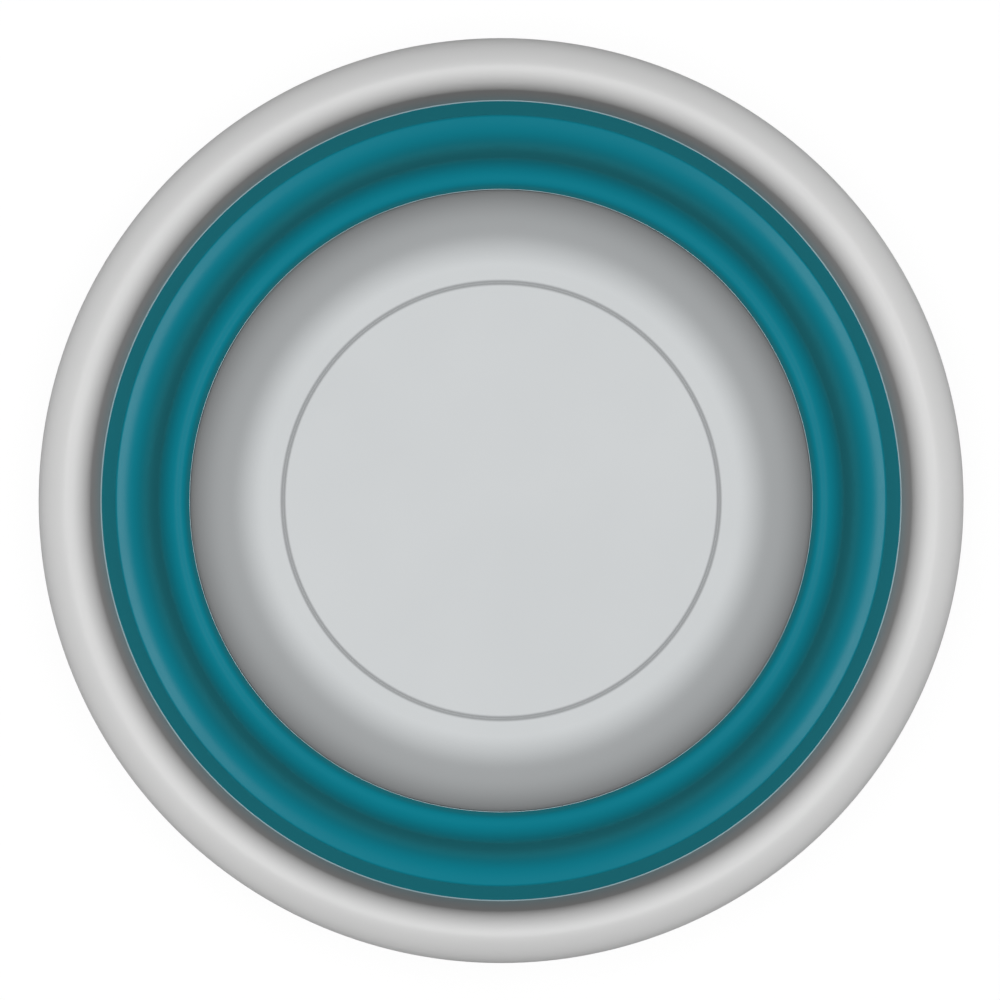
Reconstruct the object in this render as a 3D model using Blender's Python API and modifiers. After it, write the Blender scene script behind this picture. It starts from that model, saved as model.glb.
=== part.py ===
"""Collapsible camp washbasin: a hard rolled rim, a folding elastomer wall and a hard base bowl.

The basin stands expanded on its foot ring, with the origin on the ground at its axis and +Z up.
Every piece is turned about that axis. Sizes are in metres.

The wall is one moulding on the real basin. Its three bands are separate here, because the rim
carries the upper band down over the base while the fold band between them turns inside out.
"""

from math import cos, hypot, pi, sin

import bmesh
import bpy
from mathutils import Matrix

# Heights, from the ground up
FOOT_STAND = 0.0012
RAIL_HEIGHT = 0.0030
BASE_HEIGHT = 0.0460
LOWER_BAND_HEIGHT = 0.0150
FOLD_BAND_HEIGHT = 0.0370
UPPER_BAND_HEIGHT = 0.0175
RIM_HEIGHT = 0.0245

# Radial sizes, from the outside in
RIM_OUTER_RADIUS = 0.1858
OUTER_ROLL_RUN = 0.0128
INNER_ROLL_RUN = 0.0096
FLANK_DRAFT = 0.0019
LIP_WIDTH = 0.0004
UPPER_BAND_RUN = 0.0043
FOLD_BAND_RUN = 0.0148
LOWER_BAND_RUN = 0.0120
BASE_CORNER_RUN = 0.0286

# Walls and seams
RIM_THICKNESS = 0.0022
BASE_THICKNESS = 0.0026
WALL_THICKNESS = 0.0024
COLLAR_THICKNESS = 0.0040
HINGE_THICKNESS = 0.0010
BAND_TAPER = 0.0040
SEAM_GAP = 0.0003
BAND_GAP = 0.0004
BAND_LAP = 0.0012
EDGE_RADIUS = 0.0006

# Rim rolls, skirt, lip, collar, tongues and ribs
OUTER_ROLL_RISE = 0.0175
INNER_ROLL_RISE = 0.0130
SKIRT_HEIGHT = 0.0085
LIP_HEIGHT = 0.0005
COLLAR_HEIGHT = 0.0080
TONGUE_THICKNESS = 0.0012
RIM_TONGUE_HEIGHT = 0.0045
BASE_TONGUE_HEIGHT = 0.0035
RIB_COUNT = 24
RIB_THICKNESS = 0.0014
RIB_RECESS = 0.0020

# Base flange, floor groove, foot rails and foot ring
FLANGE_HEIGHT = 0.0050
GROOVE_INSET = 0.0087
GROOVE_WIDTH = 0.0024
GROOVE_DEPTH = 0.0015
RAIL_INSET = 0.0013
RAIL_THICKNESS = 0.0018
CHANNEL_WIDTH = 0.0050

# How finely the turned shapes are cut
TURN_STEPS = 60
ROLL_STEPS = 4
CORNER_STEPS = 6
FOLD_STEPS = 6
MERGE_DISTANCE = 0.00001

# Levels that follow from the heights
RAIL_TOP = FOOT_STAND + RAIL_HEIGHT
FLOOR_LEVEL = RAIL_TOP + BASE_THICKNESS
LOWER_HINGE_LEVEL = BASE_HEIGHT + LOWER_BAND_HEIGHT
UPPER_HINGE_LEVEL = LOWER_HINGE_LEVEL + FOLD_BAND_HEIGHT
RIM_SEAM_LEVEL = UPPER_HINGE_LEVEL + UPPER_BAND_HEIGHT
RIM_TOP_LEVEL = RIM_SEAM_LEVEL + RIM_HEIGHT
OUTER_ROLL_LEVEL = RIM_TOP_LEVEL - OUTER_ROLL_RISE
INNER_ROLL_LEVEL = RIM_TOP_LEVEL - INNER_ROLL_RISE
SKIRT_END_LEVEL = OUTER_ROLL_LEVEL - SKIRT_HEIGHT

# Radii that follow from the rim inwards
CROWN_RADIUS = RIM_OUTER_RADIUS - OUTER_ROLL_RUN
FLANK_RADIUS = CROWN_RADIUS - INNER_ROLL_RUN
FLANK_FOOT_RADIUS = FLANK_RADIUS - FLANK_DRAFT
LIP_RADIUS = FLANK_FOOT_RADIUS - LIP_WIDTH
UPPER_HINGE_RADIUS = LIP_RADIUS - UPPER_BAND_RUN
LOWER_HINGE_RADIUS = UPPER_HINGE_RADIUS - FOLD_BAND_RUN
BASE_TOP_RADIUS = LOWER_HINGE_RADIUS - LOWER_BAND_RUN
FLOOR_RADIUS = BASE_TOP_RADIUS - BASE_CORNER_RUN
GROOVE_RADIUS = FLOOR_RADIUS - GROOVE_INSET
FOOT_RADIUS = FLOOR_RADIUS - RAIL_INSET - RAIL_THICKNESS - CHANNEL_WIDTH / 2
RIM_TONGUE_RADIUS = FLANK_FOOT_RADIUS + RIM_THICKNESS / 2
BASE_TONGUE_RADIUS = BASE_TOP_RADIUS + COLLAR_THICKNESS / 2

# The wet side of the base and of two bands, as shares of the run outwards and of the height
BASE_CORNER_SHARES = ((0.0, 0.0), (0.15, 0.0), (0.46, 0.32), (0.84, 0.54), (1.0, 1.0))
FOLD_BAND_SHARES = ((0.0, 0.0), (0.12, 0.58), (0.12, 0.90), (0.50, 0.945), (1.0, 1.0))
LOWER_RISER_SHARES = ((0.0, 0.0), (0.03, 0.12), (0.07, 0.26))
LOWER_TREAD_SHARES = ((0.20, 0.385), (0.40, 0.418), (0.62, 0.484), (0.81, 0.616), (0.925, 0.796))

# The rim's outer roll from the skirt to the crown, as shares of its run and its rise
OUTER_ROLL_SHARES = ((1.0, 0.0), (1.0, 0.626), (0.489, 0.788), (0.187, 1.0), (0.0, 1.0))

HARD_COLOUR = (0.622, 0.627, 0.628, 1.0)
SOFT_COLOUR = (0.004, 0.194, 0.258, 1.0)
HARD_ROUGHNESS = 0.50
SOFT_ROUGHNESS = 0.40
FOOT_ROUGHNESS = 0.60


def arc(centre, run, rise, start, end, steps):
    """Points on an ellipse about centre, from the start angle to the end angle."""
    turns = [start + (end - start) * k / steps for k in range(steps + 1)]
    return [(centre[0] + run * cos(a), centre[1] + rise * sin(a)) for a in turns]


def curve(points, steps):
    """Points on the smooth curve from the first to the last of these control points."""
    line = []
    for k in range(steps + 1):
        share = k / steps
        row = list(points)
        while len(row) > 1:
            row = [(a[0] + (b[0] - a[0]) * share, a[1] + (b[1] - a[1]) * share) for a, b in zip(row, row[1:])]
        line.append(row[0])
    return line


def beside(points, distance):
    """The line that runs beside points at this distance, on the right of their direction."""
    line = []
    for k, (r, z) in enumerate(points):
        before = points[max(k - 1, 0)]
        after = points[min(k + 1, len(points) - 1)]
        run, rise = after[0] - before[0], after[1] - before[1]
        length = hypot(run, rise)
        line.append((r + distance * rise / length, z - distance * run / length))
    return line


def placed(shares, low, run, rise):
    """The points that shares of a run and a rise give, counted from the point low."""
    return [(low[0] + run * r, low[1] + rise * z) for r, z in shares]


def in_collection(name):
    """The collection of this name, made and linked the first time."""
    collection = bpy.data.collections.get(name)
    if collection is None:
        collection = bpy.data.collections.new(name)
        bpy.context.scene.collection.children.link(collection)
    return collection


def plastic(name, colour, roughness):
    """A plastic of one colour."""
    made = bpy.data.materials.new(name)
    made.use_nodes = True
    shader = made.node_tree.nodes["Principled BSDF"]
    shader.inputs["Base Color"].default_value = colour
    shader.inputs["Roughness"].default_value = roughness
    shader.inputs["Metallic"].default_value = 0.0
    return made


def turned(name, profile, looks, closed=True):
    """A solid turned from its profile, which runs down its outer side and up its inner side."""
    mesh = bpy.data.meshes.new(name)
    edges = [(k, k + 1) for k in range(len(profile) - 1)]
    if closed:
        edges.append((len(profile) - 1, 0))
    mesh.from_pydata([(r, 0.0, z) for r, z in profile], edges, [])
    mesh.materials.append(looks)
    piece = bpy.data.objects.new(name, mesh)
    in_collection("camp_washbasin").objects.link(piece)
    screw = piece.modifiers.new("turn", "SCREW")
    screw.axis = "Z"
    screw.angle = 2 * pi
    screw.steps = TURN_STEPS
    screw.render_steps = TURN_STEPS
    screw.use_merge_vertices = True
    screw.merge_threshold = MERGE_DISTANCE
    screw.use_smooth_shade = True
    return piece


def roll(depth):
    """The rim's roll at this depth in its wall, from the skirt over the crown to the flank."""
    outer = (OUTER_ROLL_RUN - depth, OUTER_ROLL_RISE - depth)
    inner = (INNER_ROLL_RUN - depth, INNER_ROLL_RISE - depth)
    up = curve(placed(OUTER_ROLL_SHARES, (CROWN_RADIUS, OUTER_ROLL_LEVEL), *outer), ROLL_STEPS)
    down = arc((CROWN_RADIUS, INNER_ROLL_LEVEL), *inner, pi / 2, pi, ROLL_STEPS)
    return up + down[1:]


def rim_profile():
    """The rolled rim: skirt, hollow underside, tongue, lip, inner flank and crown."""
    skirt_inside = RIM_OUTER_RADIUS - RIM_THICKNESS
    tongue_out = RIM_TONGUE_RADIUS + TONGUE_THICKNESS / 2
    tongue_in = RIM_TONGUE_RADIUS - TONGUE_THICKNESS / 2
    skirt = [
        (RIM_OUTER_RADIUS, SKIRT_END_LEVEL + EDGE_RADIUS),
        (RIM_OUTER_RADIUS - EDGE_RADIUS, SKIRT_END_LEVEL),
        (skirt_inside + EDGE_RADIUS, SKIRT_END_LEVEL),
        (skirt_inside, SKIRT_END_LEVEL + EDGE_RADIUS),
    ]
    flank_foot = [
        (FLANK_FOOT_RADIUS + RIM_THICKNESS, RIM_SEAM_LEVEL),
        (tongue_out, RIM_SEAM_LEVEL),
        (tongue_out, RIM_SEAM_LEVEL - RIM_TONGUE_HEIGHT),
        (tongue_in, RIM_SEAM_LEVEL - RIM_TONGUE_HEIGHT),
        (tongue_in, RIM_SEAM_LEVEL),
        (LIP_RADIUS, RIM_SEAM_LEVEL),
        (LIP_RADIUS, RIM_SEAM_LEVEL + LIP_HEIGHT),
        (FLANK_FOOT_RADIUS, RIM_SEAM_LEVEL + LIP_HEIGHT + LIP_WIDTH),
    ]
    return skirt + roll(RIM_THICKNESS) + flank_foot + roll(0)[::-1]


def rib_plate():
    """One flat rib that fills the rim's hollow, rooted halfway into the rim's wall."""
    root = RIM_THICKNESS / 2
    skirt_end = (RIM_OUTER_RADIUS - root, SKIRT_END_LEVEL + RIB_RECESS)
    flank_end = (FLANK_FOOT_RADIUS + root, RIM_SEAM_LEVEL + RIB_RECESS)
    points = [skirt_end, *roll(root), flank_end]
    shape = bpy.data.curves.new("rib_outline", "CURVE")
    shape.dimensions = "2D"
    shape.fill_mode = "BOTH"
    shape.extrude = RIB_THICKNESS / 2
    outline = shape.splines.new("POLY")
    outline.points.add(len(points) - 1)
    for point, (r, z) in zip(outline.points, points):
        point.co = (r, z, 0.0, 1.0)
    outline.use_cyclic_u = True
    guide = bpy.data.objects.new("rib_outline", shape)
    bpy.context.scene.collection.objects.link(guide)
    shown = guide.evaluated_get(bpy.context.evaluated_depsgraph_get())
    plate = bmesh.new()
    plate.from_mesh(bpy.data.meshes.new_from_object(shown))
    bpy.data.objects.remove(guide)
    bmesh.ops.remove_doubles(plate, verts=plate.verts, dist=MERGE_DISTANCE)
    bmesh.ops.rotate(plate, matrix=Matrix.Rotation(pi / 2, 3, "X"), verts=plate.verts)
    bmesh.ops.recalc_face_normals(plate, faces=plate.faces)
    mesh = bpy.data.meshes.new("rib_plate")
    plate.to_mesh(mesh)
    plate.free()
    return mesh


def rim_ribs():
    """All ribs of the rim in one mesh: the plate, repeated evenly around the axis."""
    plate = rib_plate()
    ribs = bmesh.new()
    for k in range(RIB_COUNT):
        before = len(ribs.verts)
        ribs.from_mesh(plate)
        ribs.verts.ensure_lookup_table()
        turn = Matrix.Rotation(2 * pi * (k + 0.5) / RIB_COUNT, 3, "Z")
        bmesh.ops.rotate(ribs, matrix=turn, verts=ribs.verts[before:])
    mesh = bpy.data.meshes.new("rim_ribs")
    ribs.to_mesh(mesh)
    ribs.free()
    bpy.data.meshes.remove(plate)
    piece = bpy.data.objects.new("rim_ribs", mesh)
    in_collection("cutters").objects.link(piece)
    piece.hide_render = True
    piece.display_type = "WIRE"
    return piece


def rim():
    """The hard rim with its ribs joined on."""
    piece = turned("rim", rim_profile(), plastic("rim_plastic", HARD_COLOUR, HARD_ROUGHNESS))
    join = piece.modifiers.new("ribs", "BOOLEAN")
    join.operation = "UNION"
    join.solver = "EXACT"
    join.object = rim_ribs()
    return piece


def upper_band():
    """The steep band that grips the rim's tongue and moves with the rim."""
    top = RIM_SEAM_LEVEL - SEAM_GAP
    slot_out = RIM_TONGUE_RADIUS + TONGUE_THICKNESS / 2 + SEAM_GAP
    slot_in = RIM_TONGUE_RADIUS - TONGUE_THICKNESS / 2 - SEAM_GAP
    slot_end = RIM_SEAM_LEVEL - RIM_TONGUE_HEIGHT - SEAM_GAP
    low = (UPPER_HINGE_RADIUS + BAND_GAP / 2, UPPER_HINGE_LEVEL - BAND_LAP / 2)
    lean = (LIP_RADIUS - low[0]) / (top - low[1])
    collar_end = top - COLLAR_HEIGHT
    slim_level = collar_end - BAND_TAPER
    profile = [
        (LIP_RADIUS, top),
        (slot_in, top),
        (slot_in, slot_end),
        (slot_out, slot_end),
        (slot_out, top),
        (LIP_RADIUS + COLLAR_THICKNESS, top),
        (LIP_RADIUS + COLLAR_THICKNESS, collar_end),
        (low[0] + lean * (slim_level - low[1]) + WALL_THICKNESS, slim_level),
        (low[0] + lean * BAND_TAPER + WALL_THICKNESS, low[1] + BAND_TAPER),
        (low[0] + HINGE_THICKNESS, low[1]),
        low,
    ]
    looks = plastic("upper_band_elastomer", SOFT_COLOUR, SOFT_ROUGHNESS)
    return turned("wall_upper_band", profile, looks)


def fold_band():
    """The band that turns inside out: a steep riser that rounds over into a shallow tread."""
    low = (LOWER_HINGE_RADIUS + BAND_GAP / 2, LOWER_HINGE_LEVEL - BAND_LAP / 2)
    high = (UPPER_HINGE_RADIUS - BAND_GAP / 2, UPPER_HINGE_LEVEL)
    guides = placed(FOLD_BAND_SHARES, low, high[0] - low[0], high[1] - low[1])
    wet = curve(guides, FOLD_STEPS)
    dry = beside(wet, WALL_THICKNESS)
    dry[0] = (low[0] + HINGE_THICKNESS, low[1])
    dry[-1] = (high[0], high[1] - HINGE_THICKNESS)
    looks = plastic("fold_band_elastomer", SOFT_COLOUR, SOFT_ROUGHNESS)
    return turned("wall_fold_band", dry[::-1] + wet, looks)


def lower_band():
    """The stepped band that grips the base bowl's tongue and stays with the base."""
    low = (BASE_TOP_RADIUS, BASE_HEIGHT + SEAM_GAP)
    slot_out = BASE_TONGUE_RADIUS + TONGUE_THICKNESS / 2 + SEAM_GAP
    slot_in = BASE_TONGUE_RADIUS - TONGUE_THICKNESS / 2 - SEAM_GAP
    slot_end = BASE_HEIGHT + BASE_TONGUE_HEIGHT + SEAM_GAP
    collar = BASE_TOP_RADIUS + COLLAR_THICKNESS
    reach = LOWER_HINGE_RADIUS - BAND_GAP / 2
    top = LOWER_HINGE_LEVEL + BAND_LAP / 2
    riser = placed(LOWER_RISER_SHARES, low, LOWER_BAND_RUN, LOWER_BAND_HEIGHT)
    tread = placed(LOWER_TREAD_SHARES, low, LOWER_BAND_RUN, LOWER_BAND_HEIGHT)
    under = [(min(max(r, collar), reach), z) for r, z in beside(tread, WALL_THICKNESS)]
    profile = [
        (reach, top),
        *under[::-1],
        (collar, low[1]),
        (slot_out, low[1]),
        (slot_out, slot_end),
        (slot_in, slot_end),
        (slot_in, low[1]),
        *riser,
        *tread,
        (reach - HINGE_THICKNESS, top),
    ]
    looks = plastic("lower_band_elastomer", SOFT_COLOUR, SOFT_ROUGHNESS)
    return turned("wall_lower_band", profile, looks)


def base_bowl():
    """The hard base: grooved floor, rounded wall, tongue, flange and two foot rails."""
    tongue_out = BASE_TONGUE_RADIUS + TONGUE_THICKNESS / 2
    tongue_in = BASE_TONGUE_RADIUS - TONGUE_THICKNESS / 2
    flange = BASE_TOP_RADIUS + COLLAR_THICKNESS
    flange_end = BASE_HEIGHT - FLANGE_HEIGHT
    channel_out = FOOT_RADIUS + CHANNEL_WIDTH / 2
    channel_in = FOOT_RADIUS - CHANNEL_WIDTH / 2
    floor = [
        (0.0, FLOOR_LEVEL),
        (GROOVE_RADIUS - GROOVE_WIDTH / 2, FLOOR_LEVEL),
        (GROOVE_RADIUS - GROOVE_WIDTH / 4, FLOOR_LEVEL - GROOVE_DEPTH),
        (GROOVE_RADIUS + GROOVE_WIDTH / 4, FLOOR_LEVEL - GROOVE_DEPTH),
        (GROOVE_RADIUS + GROOVE_WIDTH / 2, FLOOR_LEVEL),
    ]
    low = (FLOOR_RADIUS, FLOOR_LEVEL)
    guides = placed(BASE_CORNER_SHARES, low, BASE_CORNER_RUN, BASE_HEIGHT - FLOOR_LEVEL)
    wet = curve(guides, CORNER_STEPS)
    dry = beside(wet, BASE_THICKNESS)[::-1]
    edge = [
        (tongue_in, BASE_HEIGHT),
        (tongue_in, BASE_HEIGHT + BASE_TONGUE_HEIGHT),
        (tongue_out, BASE_HEIGHT + BASE_TONGUE_HEIGHT),
        (tongue_out, BASE_HEIGHT),
        (flange, BASE_HEIGHT),
        (flange, flange_end + EDGE_RADIUS),
        (flange - EDGE_RADIUS, flange_end),
    ]
    below_flange = [point for point in dry if point[1] < flange_end - EDGE_RADIUS]
    rails = [
        (channel_out + RAIL_THICKNESS, RAIL_TOP),
        (channel_out + RAIL_THICKNESS, FOOT_STAND),
        (channel_out, FOOT_STAND),
        (channel_out, RAIL_TOP),
        (channel_in, RAIL_TOP),
        (channel_in, FOOT_STAND),
        (channel_in - RAIL_THICKNESS, FOOT_STAND),
        (channel_in - RAIL_THICKNESS, RAIL_TOP),
        (0.0, RAIL_TOP),
    ]
    profile = floor + wet + edge + below_flange + rails
    looks = plastic("base_plastic", HARD_COLOUR, HARD_ROUGHNESS)
    return turned("base_bowl", profile, looks, closed=False)


def foot_ring():
    """The non-slip ring between the foot rails, which the basin stands on."""
    outside = FOOT_RADIUS + CHANNEL_WIDTH / 2 - SEAM_GAP
    inside = FOOT_RADIUS - CHANNEL_WIDTH / 2 + SEAM_GAP
    top = RAIL_TOP - SEAM_GAP
    profile = [
        (outside, top),
        (outside, EDGE_RADIUS),
        (outside - EDGE_RADIUS, 0.0),
        (inside + EDGE_RADIUS, 0.0),
        (inside, EDGE_RADIUS),
        (inside, top),
    ]
    return turned("foot_ring", profile, plastic("foot_elastomer", SOFT_COLOUR, FOOT_ROUGHNESS))


def carried(name, pieces, carrier=None):
    """An empty on the basin's axis that carries pieces, itself carried by another empty."""
    empty = bpy.data.objects.new(name, None)
    in_collection("camp_washbasin").objects.link(empty)
    empty.parent = carrier
    for piece in pieces:
        piece.parent = empty
    return empty


def main():
    for old in list(bpy.data.objects):
        bpy.data.objects.remove(old)
    base = carried("standing_base", (base_bowl(), foot_ring(), lower_band()))
    carried("sliding_rim", (rim(), upper_band()), base)
    carried("sliding_fold", (fold_band(),), base)


main()
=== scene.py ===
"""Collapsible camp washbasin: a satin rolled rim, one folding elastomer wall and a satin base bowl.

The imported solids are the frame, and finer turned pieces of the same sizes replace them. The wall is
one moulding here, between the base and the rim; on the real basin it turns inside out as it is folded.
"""

from math import acos, atan2, cos, hypot, pi, sin, tan

import bmesh
import bpy
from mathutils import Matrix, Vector

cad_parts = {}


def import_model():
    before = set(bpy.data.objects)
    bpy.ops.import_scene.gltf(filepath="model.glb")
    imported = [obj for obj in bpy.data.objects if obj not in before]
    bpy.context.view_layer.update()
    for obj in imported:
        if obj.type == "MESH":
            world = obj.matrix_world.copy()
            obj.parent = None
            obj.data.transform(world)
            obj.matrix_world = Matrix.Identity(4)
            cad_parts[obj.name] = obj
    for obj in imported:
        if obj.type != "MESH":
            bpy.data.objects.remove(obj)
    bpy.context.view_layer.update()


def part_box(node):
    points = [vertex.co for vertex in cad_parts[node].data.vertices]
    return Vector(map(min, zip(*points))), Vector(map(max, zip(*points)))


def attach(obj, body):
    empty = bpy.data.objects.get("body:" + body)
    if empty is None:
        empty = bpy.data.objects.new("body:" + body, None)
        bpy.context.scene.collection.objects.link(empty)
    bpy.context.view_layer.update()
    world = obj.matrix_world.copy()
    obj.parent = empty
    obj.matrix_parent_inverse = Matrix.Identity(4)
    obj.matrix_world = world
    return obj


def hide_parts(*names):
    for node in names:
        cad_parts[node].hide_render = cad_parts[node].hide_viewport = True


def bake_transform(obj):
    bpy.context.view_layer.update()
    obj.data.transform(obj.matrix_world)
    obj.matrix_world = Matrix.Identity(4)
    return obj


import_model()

# Sizes that the frame gives
RIM_LOW, RIM_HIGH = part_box("rim")
_, UPPER_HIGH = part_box("wall_upper_band")
FOLD_LOW, FOLD_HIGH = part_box("wall_fold_band")
LOWER_LOW, LOWER_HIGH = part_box("wall_lower_band")
BASE_LOW, BASE_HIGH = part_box("base_bowl")
_, FOOT_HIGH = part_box("foot_ring")

# Walls, rolls and seams, in metres
COLLAR_THICKNESS = 0.0040
WALL_THICKNESS = 0.0024
HINGE_THICKNESS = 0.0010
RIM_THICKNESS = 0.0022
BASE_THICKNESS = 0.0026
OUTER_ROLL_RUN = 0.0128
OUTER_ROLL_RISE = 0.0175
INNER_ROLL_RUN = 0.0091
INNER_ROLL_RISE = 0.0130
FLANK_DRAFT = 0.0024
SEAM_GAP = 0.0003
BAND_GAP = 0.0004
BAND_LAP = 0.0012
JOIN_GAP = 0.00005

# Radii and levels
RIM_RADIUS = RIM_HIGH.x
RIM_TOP = RIM_HIGH.z
CROWN_RADIUS = RIM_RADIUS - OUTER_ROLL_RUN
LIP_RADIUS = UPPER_HIGH.x - COLLAR_THICKNESS
RIM_SEAM = UPPER_HIGH.z + SEAM_GAP
UPPER_HINGE = (FOLD_HIGH.x + BAND_GAP / 2, FOLD_HIGH.z)
LOWER_HINGE = (LOWER_HIGH.x + BAND_GAP / 2, FOLD_LOW.z + BAND_LAP / 2)
BASE_SEAM = (BASE_HIGH.x - COLLAR_THICKNESS, LOWER_LOW.z - SEAM_GAP)

# How finely the pieces are made
TURN_STEPS = 256
ARC_STEPS = 24
ROUND_STEPS = 5
FOOT_STEPS = 8
MERGE_DISTANCE = 0.000001
NORMAL_WEIGHT = 50


def along(first, last, share):
    """The point at this share of the way from the first to the last."""
    return first[0] + (last[0] - first[0]) * share, first[1] + (last[1] - first[1]) * share


def arc(centre, run, rise, start, end, steps=ARC_STEPS):
    """Points on an ellipse about centre, from the start angle to the end angle."""
    turns = [start + (end - start) * k / steps for k in range(steps + 1)]
    return [(centre[0] + run * cos(a), centre[1] + rise * sin(a)) for a in turns]


def curve(points, steps=ARC_STEPS):
    """Points on the smooth curve from the first to the last of these control points."""
    line = []
    for k in range(steps + 1):
        share = k / steps
        row = list(points)
        while len(row) > 1:
            row = [along(a, b, share) for a, b in zip(row, row[1:])]
        line.append(row[0])
    return line


def placed(shares, low, high):
    """The points that shares of the way from low to high give."""
    return [(low[0] + (high[0] - low[0]) * r, low[1] + (high[1] - low[1]) * z) for r, z in shares]


def between(first, last, steps):
    """Points on the straight line between two points, without its ends."""
    return [along(first, last, k / steps) for k in range(1, steps)]


def beside(points, distance):
    """The line that runs beside points at this distance, on the right of their direction."""
    line = []
    for k, (r, z) in enumerate(points):
        before, after = points[max(k - 1, 0)], points[min(k + 1, len(points) - 1)]
        run, rise = after[0] - before[0], after[1] - before[1]
        length = hypot(run, rise)
        line.append((r + distance * rise / length, z - distance * run / length))
    return line


def rounded(before, corner, after, fillet, steps=ROUND_STEPS):
    """The round of radius fillet that replaces a corner between two straight sides."""
    at = Vector(corner)
    a = (Vector(before) - at).normalized()
    b = (Vector(after) - at).normalized()
    half = a.angle(b) / 2
    centre = at + (a + b).normalized() * (fillet / sin(half))
    start = at + a * (fillet / tan(half)) - centre
    end = at + b * (fillet / tan(half)) - centre
    first = atan2(start.y, start.x)
    turn = (atan2(end.y, end.x) - first + pi) % (2 * pi) - pi
    return arc(centre, fillet, fillet, first, first + turn, steps)


def turned(name, rows, looks, closed):
    """A mesh turned about the axis from rows of (radius, height)."""
    mesh = bpy.data.meshes.new(name)
    turns = [2 * pi * k / TURN_STEPS for k in range(TURN_STEPS)]
    points = [(r * cos(a), r * sin(a), z) for r, z in rows for a in turns]
    faces = []
    for i in range(len(rows) if closed else len(rows) - 1):
        here, there = i * TURN_STEPS, (i + 1) % len(rows) * TURN_STEPS
        for k in range(TURN_STEPS):
            following = (k + 1) % TURN_STEPS
            faces.append((here + k, here + following, there + following, there + k))
    mesh.from_pydata(points, [], faces)
    edit = bmesh.new()
    edit.from_mesh(mesh)
    bmesh.ops.remove_doubles(edit, verts=edit.verts, dist=MERGE_DISTANCE)
    if closed:
        bmesh.ops.recalc_face_normals(edit, faces=edit.faces)
    edit.to_mesh(mesh)
    edit.free()
    mesh.shade_smooth()
    mesh.materials.append(looks)
    piece = bpy.data.objects.new(name, mesh)
    bpy.context.scene.collection.objects.link(piece)
    return piece


def weighted(piece):
    """Lets the large faces set the shading of the small rounds beside them."""
    normals = piece.modifiers.new("weighted_normals", "WEIGHTED_NORMAL")
    normals.keep_sharp = False
    normals.weight = NORMAL_WEIGHT


# Materials

SEEN_BY = ("Is Camera Ray", "Is Glossy Ray", "Is Transmission Ray")
MATT_BLEND = 0.002
MATT_SHARE = 0.25
CLOUD_SCALE = 9.0
CLOUD_DETAIL = 3.0
CLOUD_RANGE = (0.35, 0.65)
SPECK_SCALE = 700.0
SPECK_DETAIL = 2.0
SPECK_RANGE = (0.62, 0.8)
SPECK_SHARE = 0.5
SMEAR_SCALE = 34.0
SMEAR_DETAIL = 4.0
SMEAR_ROUGHNESS = 0.6
SMEAR_RANGE = (0.3, 0.7)
GRAIN_DETAIL = 2.0
# Painted bounce light: the teal that the soft wall reflects onto the hard plastic beside it
PAINTED_WALL_BOUNCE = (0.48, 0.69, 0.75, 1)
HARD_FINISH = {"roughness": (0.56, 0.62), "specular": 0.25, "grain": (1800.0, 0.00002)}
SOFT_SHEEN = {"Sheen Weight": 0.38, "Sheen Roughness": 0.6, "Sheen Tint": (0.1, 0.85, 1.0, 1.0)}


def node(tree, kind, **settings):
    """A node of this kind, with its sockets or properties set by name."""
    made = tree.nodes.new("ShaderNode" + kind)
    for key, value in settings.items():
        if key in made.inputs:
            made.inputs[key].default_value = value
        else:
            setattr(made, key, value)
    return made


def noise(tree, place, scale, detail, roughness=0.5):
    """A noise texture at this many cells a metre."""
    made = node(tree, "TexNoise", Scale=scale, Detail=detail, Roughness=roughness)
    tree.links.new(place, made.inputs["Vector"])
    return made.outputs["Fac"]


def ranged(tree, value, old, new):
    """A value, mapped from its old range to a new one and clamped."""
    made = node(tree, "MapRange")
    for key, number in zip(("From Min", "From Max", "To Min", "To Max"), (*old, *new)):
        made.inputs[key].default_value = number
    tree.links.new(value, made.inputs["Value"])
    return made.outputs["Result"]


def maths(tree, operation, first, second, **settings):
    """The result of an operation on two values, each a number or an output."""
    made = node(tree, "Math", operation=operation, **settings)
    for socket, value in zip(made.inputs, (first, second)):
        if isinstance(value, float):
            socket.default_value = value
        else:
            tree.links.new(value, socket)
    return made.outputs[0]


def mixed(tree, share, first, second):
    """The colour between two colours at this share."""
    made = node(tree, "Mix", data_type="RGBA")
    tree.links.new(share, made.inputs["Factor"])
    for slot, colour in (("A", first), ("B", second)):
        socket = [s for s in made.inputs if s.name == slot and s.type == "RGBA"][0]
        if isinstance(colour, tuple):
            socket.default_value = colour
        else:
            tree.links.new(colour, socket)
    return [s for s in made.outputs if s.type == "RGBA"][0]


def seen(tree):
    """1 for the rays that show a thing itself, and 0 for those that light other things."""
    path = node(tree, "LightPath")
    total = path.outputs[SEEN_BY[0]]
    for key in SEEN_BY[1:]:
        total = maths(tree, "ADD", total, path.outputs[key], use_clamp=True)
    return total


def from_axis(tree, place):
    """How far a place is from the basin's axis."""
    flat = node(tree, "VectorMath", operation="MULTIPLY")
    flat.inputs[1].default_value = (1, 1, 0)
    tree.links.new(place, flat.inputs[0])
    length = node(tree, "VectorMath", operation="LENGTH")
    tree.links.new(flat.outputs["Vector"], length.inputs[0])
    return length.outputs["Value"]


def dulled(tree, place, radius, specular):
    """The specular level, which is lower nearer to the axis than this radius."""
    blend = (radius - MATT_BLEND, radius + MATT_BLEND)
    return ranged(tree, from_axis(tree, place), blend, (specular * MATT_SHARE, specular))


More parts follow.
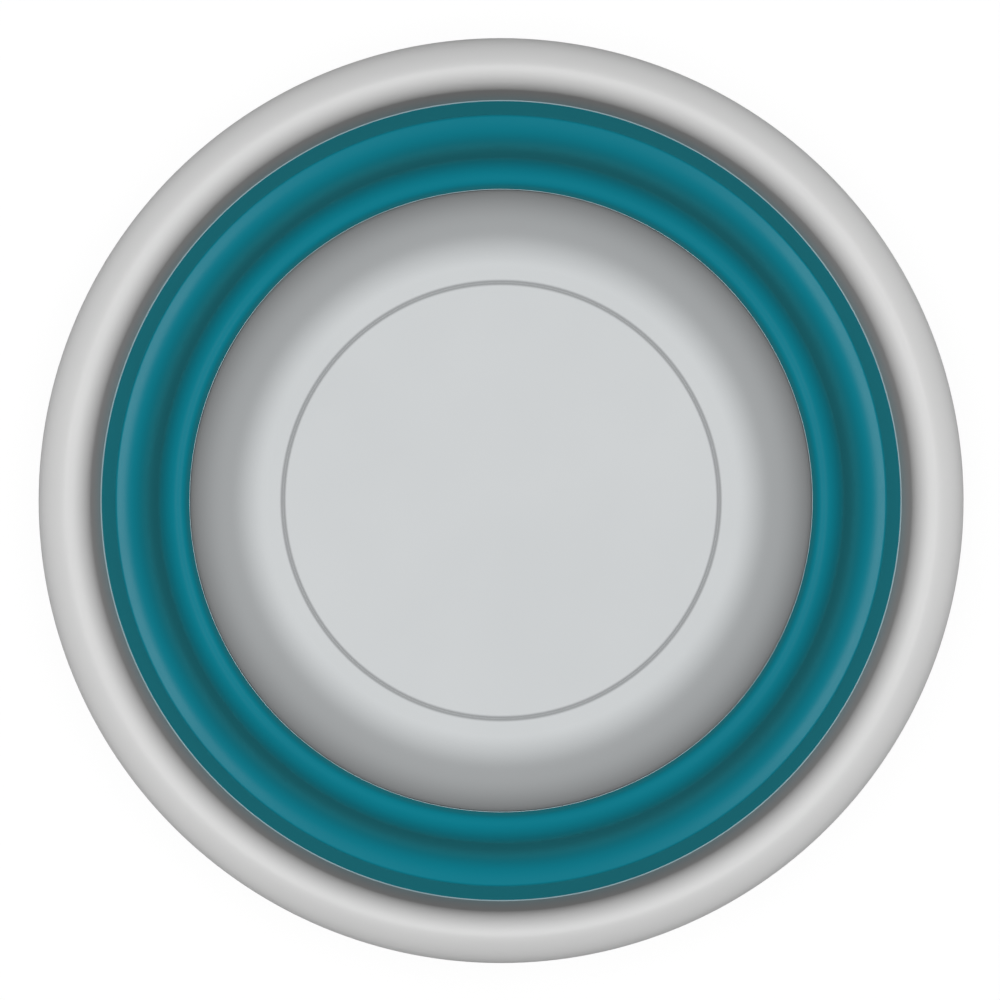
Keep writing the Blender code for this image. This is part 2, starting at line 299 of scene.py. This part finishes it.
def beside_seam(tree, place, seam, reach):
    """1 at this seam, a (radius, height) all round, falling to 0 at a distance of reach."""
    split = node(tree, "SeparateXYZ")
    tree.links.new(place, split.inputs[0])
    at = node(tree, "CombineXYZ")
    tree.links.new(from_axis(tree, place), at.inputs["X"])
    tree.links.new(split.outputs["Z"], at.inputs["Y"])
    gap = node(tree, "VectorMath", operation="DISTANCE")
    tree.links.new(at.outputs[0], gap.inputs[0])
    gap.inputs[1].default_value = (*seam, 0)
    near = ranged(tree, gap.outputs["Value"], (0.0, reach), (1.0, 0.0))
    return maths(tree, "MULTIPLY", near, near)


def moulded(name, tones, roughness, specular, grain, matt_radius=None, seam=None, reach=None):
    """A moulded plastic: two close tones, a varying gloss and the grain of its mould.

    The grain is its cells a metre and its depth. Nearer to the axis than matt_radius, the mould has
    left a duller surface. Up to reach from seam, the teal light that the soft wall throws on the
    plastic is painted into its colour as painted bounce light.
    """
    looks = bpy.data.materials.new(name)
    looks.use_nodes = True
    tree = looks.node_tree
    shader = tree.nodes["Principled BSDF"]
    place = node(tree, "TexCoord").outputs["Object"]
    cells, depth = grain
    cloud = noise(tree, place, CLOUD_SCALE, CLOUD_DETAIL)
    speck = noise(tree, place, SPECK_SCALE, SPECK_DETAIL)
    smear = noise(tree, place, SMEAR_SCALE, SMEAR_DETAIL, SMEAR_ROUGHNESS)
    colour = mixed(tree, ranged(tree, cloud, CLOUD_RANGE, (0.0, 1.0)), *tones)
    colour = mixed(tree, ranged(tree, speck, SPECK_RANGE, (0.0, SPECK_SHARE)), colour, tones[1])
    # Painted bounce light: the wall's teal is mixed into the colour near the seam
    if seam:
        colour = mixed(tree, beside_seam(tree, place, seam, reach), colour, PAINTED_WALL_BOUNCE)
    tree.links.new(colour, shader.inputs["Base Color"])
    tree.links.new(ranged(tree, smear, SMEAR_RANGE, roughness), shader.inputs["Roughness"])
    bump = node(tree, "Bump", Strength=1.0, Distance=depth)
    tree.links.new(noise(tree, place, cells, GRAIN_DETAIL), bump.inputs["Height"])
    tree.links.new(bump.outputs["Normal"], shader.inputs["Normal"])
    shader.inputs["Specular IOR Level"].default_value = specular
    if matt_radius:
        level = dulled(tree, place, matt_radius, specular)
        tree.links.new(level, shader.inputs["Specular IOR Level"])
    return looks


HARD = moulded(
    "rim_plastic",
    ((0.644, 0.644, 0.642, 1), (0.630, 0.631, 0.630, 1)),
    # Painted bounce light from the teal wall on the rim's inner flank, up to 18 mm from its seam
    seam=(LIP_RADIUS, RIM_SEAM),
    reach=0.018,
    **HARD_FINISH,
)
BOWL = moulded(
    "base_plastic",
    ((0.580, 0.600, 0.609, 1), (0.567, 0.588, 0.598, 1)),
    # Painted bounce light from the teal wall on the bowl's top edge, up to 6 mm from its seam
    seam=BASE_SEAM,
    reach=0.006,
    **HARD_FINISH,
)
SOFT = moulded(
    "soft_elastomer",
    ((0.003, 0.203, 0.270, 1), (0.004, 0.189, 0.252, 1)),
    roughness=(0.31, 0.35),
    specular=0.06,
    grain=(1400.0, 0.00002),
    matt_radius=LOWER_HINGE[0] + MATT_BLEND,
)
GRIP = moulded(
    "foot_elastomer",
    ((0.005, 0.150, 0.198, 1), (0.006, 0.140, 0.182, 1)),
    roughness=(0.6, 0.7),
    specular=0.2,
    grain=(1100.0, 0.00004),
)
for key, value in SOFT_SHEEN.items():
    SOFT.node_tree.nodes["Principled BSDF"].inputs[key].default_value = value


# The rim

SKIRT_END = RIM_LOW.z
LIP_HEIGHT = 0.0003
LEDGE_RISE = 0.0006
FLANK_FOOT = CROWN_RADIUS - INNER_ROLL_RUN - FLANK_DRAFT
SKIRT_ROUND = 0.0009
LEDGE_ROUND = 0.0003
LIP_ROUND = 0.0002
RIB_COUNT = 24
RIB_THICKNESS = 0.0014
RIB_RECESS = 0.0020
RIB_ROOT = 0.0006
OUTER_ROLL_SHARES = ((1.0, 0.0), (1.0, 0.626), (0.489, 0.788), (0.22, 1.0), (0.0, 1.0))


def rolled(depth, foot):
    """The roll at this depth in its wall, from the skirt over the crown to where it heads for foot."""
    outer = (OUTER_ROLL_RUN - depth, OUTER_ROLL_RISE - depth)
    skirt = (CROWN_RADIUS, RIM_TOP - OUTER_ROLL_RISE)
    run, rise = INNER_ROLL_RUN - depth, INNER_ROLL_RISE - depth
    level = RIM_TOP - INNER_ROLL_RISE
    x, z = (foot[0] - CROWN_RADIUS) / run, (foot[1] - level) / rise
    leaves = atan2(z, x) % (2 * pi) - acos(1 / hypot(x, z))
    up = curve(placed(OUTER_ROLL_SHARES, skirt, (skirt[0] + outer[0], skirt[1] + outer[1])))
    return up + arc((CROWN_RADIUS, level), run, rise, pi / 2, leaves)[1:]


def rim_rows():
    """The rolled rim's section: skirt, crown, inner flank, lip and hollow underside."""
    skirt_out, skirt_in = (RIM_RADIUS, SKIRT_END), (RIM_RADIUS - RIM_THICKNESS, SKIRT_END)
    flank = (FLANK_FOOT, RIM_SEAM + LIP_HEIGHT + LEDGE_RISE)
    lip = (LIP_RADIUS, RIM_SEAM + LIP_HEIGHT)
    seam_in, seam_out = (LIP_RADIUS, RIM_SEAM), (FLANK_FOOT + RIM_THICKNESS, RIM_SEAM)
    outside, inside = rolled(0, flank), rolled(RIM_THICKNESS, seam_out)
    rows = rounded(skirt_in, skirt_out, outside[0], SKIRT_ROUND)
    rows += outside
    rows += rounded(outside[-1], flank, lip, LEDGE_ROUND)
    rows += rounded(flank, lip, seam_in, LIP_ROUND)
    rows += [seam_in, seam_out]
    rows += inside[::-1]
    rows += rounded(inside[0], skirt_in, skirt_out, SKIRT_ROUND)
    return rows


def rim_ribs():
    """The plates that stiffen the rim's hollow, in one mesh."""
    foot = (FLANK_FOOT + RIM_THICKNESS - RIB_ROOT, RIM_SEAM + RIB_RECESS)
    skirt = (RIM_RADIUS - RIM_THICKNESS + RIB_ROOT, SKIRT_END + RIB_RECESS)
    outline = [skirt, *rolled(RIM_THICKNESS - RIB_ROOT, foot), foot]
    edit = bmesh.new()
    for k in range(RIB_COUNT):
        a = 2 * pi * (k + 0.5) / RIB_COUNT
        sides = []
        for shift in (-RIB_THICKNESS / 2, RIB_THICKNESS / 2):
            away = (-shift * sin(a), shift * cos(a))
            places = [(r * cos(a) + away[0], r * sin(a) + away[1], z) for r, z in outline]
            sides.append([edit.verts.new(place) for place in places])
        edit.faces.new(sides[0])
        edit.faces.new(sides[1][::-1])
        for i in range(len(outline)):
            edit.faces.new((sides[0][i - 1], sides[0][i], sides[1][i], sides[1][i - 1]))
    bmesh.ops.recalc_face_normals(edit, faces=edit.faces)
    mesh = bpy.data.meshes.new("rim_ribs")
    edit.to_mesh(mesh)
    edit.free()
    return bpy.data.objects.new("rim_ribs", mesh)


def join_ribs(piece):
    """Joins the ribs to the rim's inside."""
    ribs = rim_ribs()
    bpy.context.scene.collection.objects.link(ribs)
    union = piece.modifiers.new("ribs", "BOOLEAN")
    union.operation = "UNION"
    union.object = ribs
    shown = piece.evaluated_get(bpy.context.evaluated_depsgraph_get())
    joined = bpy.data.meshes.new_from_object(shown)
    piece.modifiers.clear()
    piece.data = joined
    bpy.data.objects.remove(ribs)


def rim():
    """The hard rim."""
    piece = turned("rolled_rim", rim_rows(), HARD, True)
    join_ribs(piece)
    weighted(piece)
    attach(piece, "rim")
    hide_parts("rim")


# The folding wall

CORNER_ROUND = 0.0012
FOLD_SHARES = ((1.0, 1.0), (0.50, 0.945), (0.12, 0.90), (0.12, 0.58), (0.0, 0.0))
TREAD_SHARES = ((1.0, 1.0), (0.97, 0.688), (0.66, 0.463), (0.40, 0.418))
NOSE_SHARES = ((0.40, 0.418), (0.25, 0.393), (0.125, 0.37), (0.07, 0.22))

# (height, thickness) where the wall's thickness changes, from the rim's seam to the base's
THICKNESSES = (
    (RIM_SEAM, COLLAR_THICKNESS),
    (RIM_SEAM - 0.0080, COLLAR_THICKNESS),
    (RIM_SEAM - 0.0115, WALL_THICKNESS),
    (UPPER_HINGE[1] + 0.0050, WALL_THICKNESS),
    (UPPER_HINGE[1], 0.0018),
    (UPPER_HINGE[1] - 0.0060, WALL_THICKNESS),
    (LOWER_HINGE[1] + 0.0080, WALL_THICKNESS),
    (LOWER_HINGE[1] + 0.0030, 0.0012),
    (LOWER_HINGE[1], HINGE_THICKNESS),
    (LOWER_HINGE[1] - 0.0030, 0.0015),
    (LOWER_HINGE[1] - 0.0060, WALL_THICKNESS),
    (BASE_SEAM[1] + 0.0062, WALL_THICKNESS),
    (BASE_SEAM[1] + 0.0040, COLLAR_THICKNESS),
    (BASE_SEAM[1], COLLAR_THICKNESS),
)


def wall_rows():
    """The wet side of the wall from the rim down to the base."""
    top = (LIP_RADIUS, RIM_SEAM - JOIN_GAP)
    fold = curve(placed(FOLD_SHARES, LOWER_HINGE, UPPER_HINGE), 2 * ARC_STEPS)
    corner = rounded(top, UPPER_HINGE, fold[1], CORNER_ROUND)
    reached = [p for p in fold[1:] if p[0] < corner[-1][0]]
    tread = curve(placed(TREAD_SHARES, BASE_SEAM, LOWER_HINGE))
    nose = curve(placed(NOSE_SHARES, BASE_SEAM, LOWER_HINGE))
    foot = (BASE_SEAM[0], BASE_SEAM[1] + JOIN_GAP)
    upper = [top, *between(top, corner[0], ARC_STEPS), *corner]
    return upper + reached + tread[1:] + nose[1:] + between(nose[-1], foot, FOOT_STEPS) + [foot]


def wall_thickness(z):
    """How thick the wall is at this height of its wet side."""
    for (high, thick), (low, next_thick) in zip(THICKNESSES, THICKNESSES[1:]):
        if z >= low:
            share = min(1.0, max(0.0, (high - z) / (high - low)))
            return thick + (next_thick - thick) * share
    return COLLAR_THICKNESS


def wall():
    """The elastomer wall: its wet side, thickened outwards, between base and rim."""
    piece = turned("fold_wall", wall_rows(), SOFT, False)
    group = piece.vertex_groups.new(name="thickness")
    for vertex in piece.data.vertices:
        group.add([vertex.index], wall_thickness(vertex.co.z) / COLLAR_THICKNESS, "REPLACE")
    shell = piece.modifiers.new("thickness", "SOLIDIFY")
    shell.thickness = COLLAR_THICKNESS
    shell.offset = -1.0
    shell.vertex_group = "thickness"
    shell.use_quality_normals = True
    weighted(piece)
    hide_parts("wall_upper_band", "wall_fold_band", "wall_lower_band")
    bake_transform(piece)


# The base bowl

BOWL_RUN = 0.0300
BOWL_SHARES = (
    (0.0, 0.0), (0.187, 0.0), (0.557, 0.172), (0.366, 0.331), (0.732, 0.315), (1.0, 1.0),
)
COLLAR_RUN = 0.00002
COLLAR_RISE = 0.0036
COLLAR_ROUND = 0.0001
GROOVE_RADIUS = 0.0927
GROOVE_WIDTH = 0.0022
GROOVE_DEPTH = 0.0015
GROOVE_ROUND = 0.0012
GROOVE_ROOT = 0.00005
FLANGE_HEIGHT = 0.0050
FOOT_WIDTH = 0.0044
RAIL_HEIGHT = 0.0030
RAIL_THICKNESS = 0.0018
RAIL_TOP = BASE_LOW.z + RAIL_HEIGHT
FLOOR_LEVEL = RAIL_TOP + BASE_THICKNESS
FLOOR_RADIUS = BASE_SEAM[0] - BOWL_RUN
EDGE_ROUND = 0.0005
SEAM_ROUND = 0.0002
GATE_RADIUS = 0.0040
GATE_DEPTH = 0.0004
GATE_ROUND = 0.0001


def rail_rows(out):
    """The rail whose outer side is at this radius, from its outer top to its inner top."""
    inside = out - RAIL_THICKNESS
    outer_top, outer_foot = (out, RAIL_TOP), (out, BASE_LOW.z)
    inner_foot, inner_top = (inside, BASE_LOW.z), (inside, RAIL_TOP)
    rows = rounded((RIM_RADIUS, RAIL_TOP), outer_top, outer_foot, EDGE_ROUND)
    rows += rounded(outer_top, outer_foot, inner_foot, EDGE_ROUND)
    rows += rounded(outer_foot, inner_foot, inner_top, EDGE_ROUND)
    return rows + rounded(inner_foot, inner_top, (0.0, RAIL_TOP), EDGE_ROUND)


def base_rows():
    """The base bowl's section from the middle of its floor over its edge to its underside."""
    edge = (BASE_SEAM[0] - SEAM_ROUND, BASE_SEAM[1])
    top = (edge[0] - COLLAR_RUN, edge[1] - COLLAR_RISE)
    wet = curve(placed(BOWL_SHARES, (FLOOR_RADIUS, FLOOR_LEVEL), top), 2 * ARC_STEPS)
    flange, flange_end = BASE_HIGH.x, BASE_SEAM[1] - FLANGE_HEIGHT
    groove_out = (GROOVE_RADIUS + GROOVE_WIDTH / 2, FLOOR_LEVEL)
    groove_in = (GROOVE_RADIUS - GROOVE_WIDTH / 2, FLOOR_LEVEL)
    groove = (GROOVE_RADIUS, FLOOR_LEVEL - GROOVE_DEPTH)
    rows = [(0.0, FLOOR_LEVEL), (groove_in[0] / 2, FLOOR_LEVEL)]
    rows += rounded((0.0, FLOOR_LEVEL), groove_in, groove, GROOVE_ROUND)
    rows += rounded(groove_in, groove, groove_out, GROOVE_ROOT)
    rows += rounded(groove, groove_out, (FLOOR_RADIUS, FLOOR_LEVEL), GROOVE_ROUND)
    rows += wet[:-1]
    rows += rounded(wet[-2], top, edge, COLLAR_ROUND)
    rows += rounded(top, edge, (flange, edge[1]), SEAM_ROUND)
    rows += rounded((flange, edge[1]), (flange, flange_end), (FLOOR_RADIUS, flange_end), EDGE_ROUND)
    channel_out, channel_in = FOOT_HIGH.x + SEAM_GAP, FOOT_HIGH.x - FOOT_WIDTH - SEAM_GAP
    rail_end = channel_out + RAIL_THICKNESS + EDGE_ROUND
    under = beside(wet, BASE_THICKNESS)[::-1]
    rows += [p for p in under if p[1] < flange_end - EDGE_ROUND / 2 and p[0] > rail_end]
    rows += rail_rows(channel_out + RAIL_THICKNESS)
    rows += rail_rows(channel_in)
    mark_edge, mark = (GATE_RADIUS + GATE_DEPTH, RAIL_TOP), (GATE_RADIUS, RAIL_TOP + GATE_DEPTH)
    rows += rounded((channel_in, RAIL_TOP), mark_edge, mark, GATE_ROUND)
    rows += rounded(mark_edge, mark, (0.0, mark[1]), GATE_ROUND)
    return rows + [(0.0, mark[1])]


def base():
    """The hard base bowl."""
    piece = turned("base_bowl_shell", base_rows(), BOWL, False)
    edit = bmesh.new()
    edit.from_mesh(piece.data)
    bmesh.ops.recalc_face_normals(edit, faces=edit.faces)
    edit.to_mesh(piece.data)
    edit.free()
    weighted(piece)
    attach(piece, "base")
    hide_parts("base_bowl")


def foot():
    """The non-slip ring that the basin stands on."""
    out, inside = FOOT_HIGH.x, FOOT_HIGH.x - FOOT_WIDTH
    corners = [(out, FOOT_HIGH.z), (out, 0.0), (inside, 0.0), (inside, FOOT_HIGH.z)]
    rows = []
    for k, corner in enumerate(corners):
        rows += rounded(corners[k - 1], corner, corners[(k + 1) % len(corners)], EDGE_ROUND)
    piece = turned("grip_ring", rows, GRIP, True)
    weighted(piece)
    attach(piece, "base")
    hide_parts("foot_ring")


rim()
wall()
base()
foot()


# Camera, floor, world and lamps

SENSOR_WIDTH = 36.0
CLIP_END = 50.0
CROWN_DISTANCE = 2.0
FRAME_WIDTH_AT_CROWN = 0.39844
AIM_X = -0.00044
AIM_Y = 0.00024
WHITE = (1, 1, 1, 1)
FLOOR_SIZE = 30.0
FLOOR_COLOUR = (0.95, 0.95, 0.95, 1)
FLOOR_GLOW = 0.9
FLOOR_GLOW_STRENGTH = 1.01
FLOOR_FILL = 0.4
AMBIENT = 0.012
HORIZON = (0.1, 0.25)
BACKDROP = (1.0, 0.04)
OVERHEAD_STRENGTH = 3.12
OVERHEAD_ANGLE = 0.49
GLOSS_POWER = 88.0
GLOSS_OUT, GLOSS_UP = 1.1, 2.4
GLOSS_SIZE = (2.0, 0.4)
SIDE_POWER = 6.5
SIDE_OUT, SIDE_UP = 2.5, 0.32
SIDE_SIZE = (0.8, 0.3)


def camera():
    """The camera, straight above the basin."""
    data = bpy.data.cameras.new("camera")
    data.sensor_width = SENSOR_WIDTH
    data.lens = SENSOR_WIDTH * CROWN_DISTANCE / FRAME_WIDTH_AT_CROWN
    data.clip_end = CLIP_END
    made = bpy.data.objects.new("camera", data)
    made.location = (AIM_X, AIM_Y, RIM_TOP + CROWN_DISTANCE)
    bpy.context.scene.collection.objects.link(made)
    bpy.context.scene.camera = made


def floor():
    """A white floor that shows white and keeps a faint shadow."""
    mesh = bpy.data.meshes.new("floor")
    edit = bmesh.new()
    bmesh.ops.create_grid(edit, x_segments=1, y_segments=1, size=FLOOR_SIZE)
    edit.to_mesh(mesh)
    edit.free()
    made = bpy.data.objects.new("floor", mesh)
    bpy.context.scene.collection.objects.link(made)
    looks = bpy.data.materials.new("white_floor")
    looks.use_nodes = True
    tree = looks.node_tree
    tree.nodes.clear()
    shown = seen(tree)
    lit = node(tree, "BsdfDiffuse", Color=FLOOR_COLOUR)
    fill = node(tree, "Emission", Color=WHITE)
    unseen = maths(tree, "SUBTRACT", 1.0, shown)
    tree.links.new(maths(tree, "MULTIPLY", unseen, FLOOR_FILL), fill.inputs["Strength"])
    both = node(tree, "AddShader")
    tree.links.new(lit.outputs[0], both.inputs[0])
    tree.links.new(fill.outputs[0], both.inputs[1])
    glow = node(tree, "Emission", Color=WHITE, Strength=FLOOR_GLOW_STRENGTH)
    mix = node(tree, "MixShader")
    tree.links.new(maths(tree, "MULTIPLY", shown, FLOOR_GLOW), mix.inputs[0])
    tree.links.new(both.outputs[0], mix.inputs[1])
    tree.links.new(glow.outputs[0], mix.inputs[2])
    out = node(tree, "OutputMaterial")
    tree.links.new(mix.outputs[0], out.inputs["Surface"])
    looks.cycles.emission_sampling = "NONE"
    mesh.materials.append(looks)


def world():
    """A studio whose backdrop is white towards the horizon, with a dim light from all round."""
    made = bpy.data.worlds.new("studio")
    made.use_nodes = True
    made.cycles.sampling_method = "NONE"
    tree = made.node_tree
    place = node(tree, "TexCoord")
    split = node(tree, "SeparateXYZ")
    tree.links.new(place.outputs["Generated"], split.inputs[0])
    backdrop = ranged(tree, split.outputs["Z"], HORIZON, BACKDROP)
    strength = node(tree, "Mix", A=AMBIENT)
    tree.links.new(seen(tree), strength.inputs["Factor"])
    tree.links.new(backdrop, strength.inputs["B"])
    background = tree.nodes["Background"]
    background.inputs["Color"].default_value = WHITE
    tree.links.new(strength.outputs["Result"], background.inputs["Strength"])
    bpy.context.scene.world = made


def lamp(name, location, size, power, diffuse=True, glossy=True):
    """A softbox that faces the middle of the basin, for its light, its highlights or both."""
    data = bpy.data.lights.new(name, "AREA")
    data.shape = "RECTANGLE"
    data.size, data.size_y = size
    data.energy = power
    made = bpy.data.objects.new(name, data)
    made.location = location
    made.visible_diffuse = diffuse
    made.visible_glossy = glossy
    aim = Vector((0, 0, RIM_TOP / 2)) - Vector(location)
    made.rotation_euler = aim.to_track_quat("-Z", "Y").to_euler()
    bpy.context.scene.collection.objects.link(made)


def overhead():
    """The wide soft light from straight above."""
    data = bpy.data.lights.new("overhead", "SUN")
    data.energy = OVERHEAD_STRENGTH
    data.angle = OVERHEAD_ANGLE
    made = bpy.data.objects.new("overhead", data)
    made.visible_glossy = False
    bpy.context.scene.collection.objects.link(made)


camera()
floor()
world()
overhead()
lamp("left_gloss", (-GLOSS_OUT, 0, GLOSS_UP), GLOSS_SIZE, GLOSS_POWER, diffuse=False)
lamp("right_gloss", (GLOSS_OUT, 0, GLOSS_UP), GLOSS_SIZE, GLOSS_POWER, diffuse=False)
lamp("left_side", (-SIDE_OUT, 0, SIDE_UP), SIDE_SIZE, SIDE_POWER, glossy=False)
lamp("right_side", (SIDE_OUT, 0, SIDE_UP), SIDE_SIZE, SIDE_POWER, glossy=False)

bpy.context.scene.view_settings.view_transform = "Standard"
bpy.context.scene.cycles.diffuse_bounces = 0
bpy.context.scene.cycles.glossy_bounces = 0
